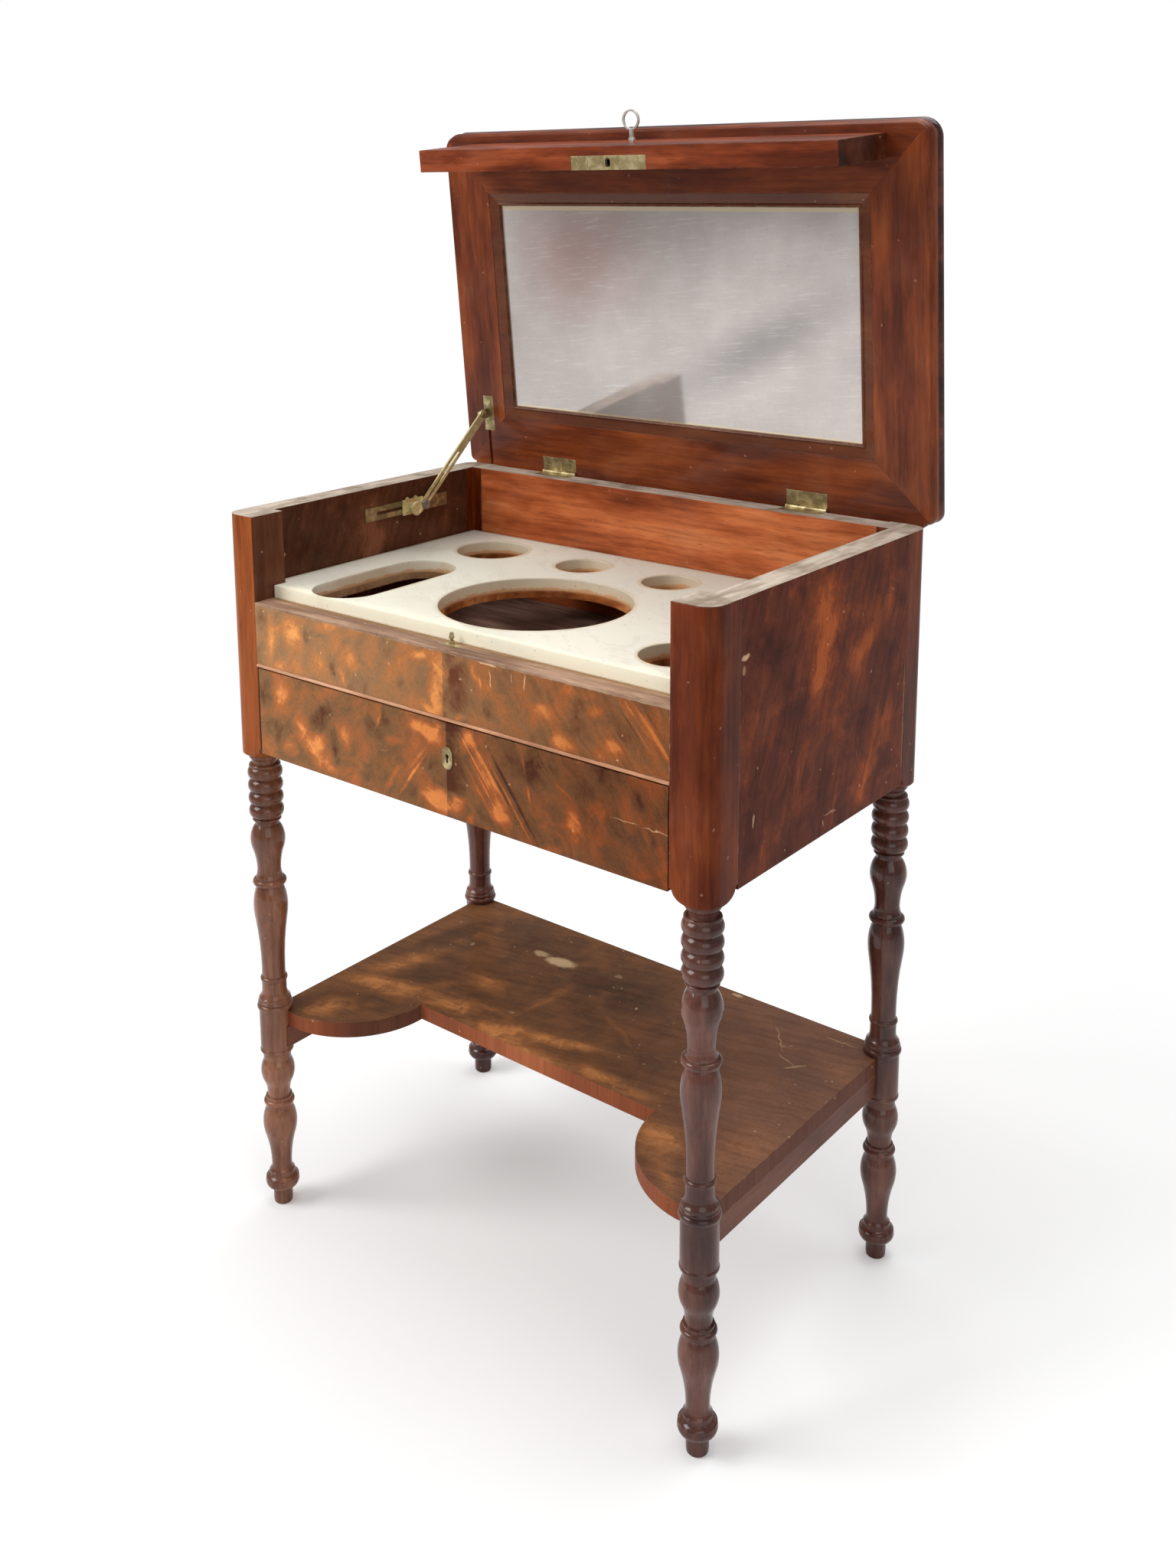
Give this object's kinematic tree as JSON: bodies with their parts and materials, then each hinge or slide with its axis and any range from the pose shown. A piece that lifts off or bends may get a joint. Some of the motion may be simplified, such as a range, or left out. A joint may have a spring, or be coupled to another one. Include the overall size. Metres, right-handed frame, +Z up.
{
  "type": "washstand",
  "caption": "Lift-top wooden washstand on turned legs, with a mirror in the raised lid, a pierced marble top, a drawer and a lobed lower shelf.",
  "frame": {"origin": "middle of the case's footprint, on the floor", "axes": "+X to the right seen from the front, +Y to the back, +Z up"},
  "size_m": [0.65, 0.432, 1.2693],
  "materials": {
    "dark_wood": "turned hardwood, polished, with worn edges",
    "side_wood": "veneered, polished, with pale streaks",
    "flame_wood": "bookmatched flame veneer, polished",
    "inner_wood": "plain softwood, unpolished",
    "marble": "white marble, worn and stained",
    "brass": "aged brass",
    "steel": "worn grey steel",
    "mirror": "silvered glass, foxed"
  },
  "bodies": {
    "case": {"leg_front_left": "dark_wood", "leg_front_right": "dark_wood", "leg_back_left": "dark_wood", "leg_back_right": "dark_wood", "side_left": "side_wood", "side_right": "side_wood", "back_panel": "side_wood", "front_panel": "flame_wood", "front_bead": "flame_wood", "ledge": "side_wood", "dustboard": "inner_wood", "drawer_kickers": "inner_wood", "drawer_runners": "inner_wood", "sub_board": "inner_wood", "sub_bearers": "inner_wood", "marble": "marble", "shelf": "flame_wood", "shelf_rails": "dark_wood", "lock_peg": "brass", "stay_plate": "brass", "stay_plate_screws": "brass", "hinge_case_leaves": "brass", "hinge_pins": "steel", "hinge_case_screws": "brass"},
    "lid": {"lid_board": "side_wood", "lid_stiles": "side_wood", "lid_rails": "side_wood", "mirror_moulding": "side_wood", "mirror_glass": "mirror", "mirror_back": "inner_wood", "lid_apron": "side_wood", "lock_plate": "brass", "lock_plate_screws": "brass", "lock_case": "steel", "hinge_lid_leaves": "brass", "hinge_lid_screws": "brass", "stay_bracket": "brass", "stay_bracket_screws": "brass"},
    "drawer": {"drawer_front": "flame_wood", "drawer_sides": "inner_wood", "drawer_back": "inner_wood", "drawer_bottom": "inner_wood", "drawer_lock": "steel", "escutcheon": "brass"},
    "key": {"key": "steel"},
    "bolt": {"lock_bolt": "brass"},
    "arm": {"stay_arm": "brass"},
    "saddle": {"stay_saddle": "brass", "stay_stud": "steel"},
    "thumbscrew": {"thumbscrew": "brass"}
  },
  "joints": [
    {"name": "lid_hinge", "type": "hinge", "parent": "case", "child": "lid", "pos_m": [0, 0.201, 0.8406], "axis": [1, 0, 0], "range_deg": [-5.3, 84.7]},
    {"name": "drawer_slide", "type": "slide", "parent": "case", "child": "drawer", "axis": [0, -1, 0], "range_m": [0, 0.26]},
    {"name": "key_turn", "type": "hinge", "parent": "lid", "child": "key", "pos_m": [0, 0.11466, 1.23431], "axis": [0, -0.0924, 0.9957], "range_deg": [0, 90]},
    {"name": "bolt_slide", "type": "slide", "parent": "lid", "child": "bolt", "axis": [1, 0, 0], "range_m": [0, 0.0062]},
    {"name": "stay_arm_pivot", "type": "hinge", "parent": "lid", "child": "arm", "pos_m": [-0.2856, 0.18335, 0.90525], "axis": [1, 0, 0], "range_deg": [-118.46, 7.69]},
    {"name": "stay_saddle_pivot", "type": "hinge", "parent": "arm", "child": "saddle", "pos_m": [-0.2856, 0.074, 0.809], "axis": [1, 0, 0], "range_deg": [-2.39, 33.76]},
    {"name": "thumbscrew_turn", "type": "hinge", "parent": "saddle", "child": "thumbscrew", "pos_m": [-0.28, 0.05, 0.809], "axis": [1, 0, 0], "continuous": true}
  ],
  "couplings": [
    {"joint": "stay_arm_pivot", "follows": "lid_hinge", "ratio": -1.3951},
    {"joint": "stay_saddle_pivot", "follows": "lid_hinge", "ratio": 0.39506},
    {"joint": "bolt_slide", "follows": "key_turn", "m_per_rad": 0.00382}
  ]
}
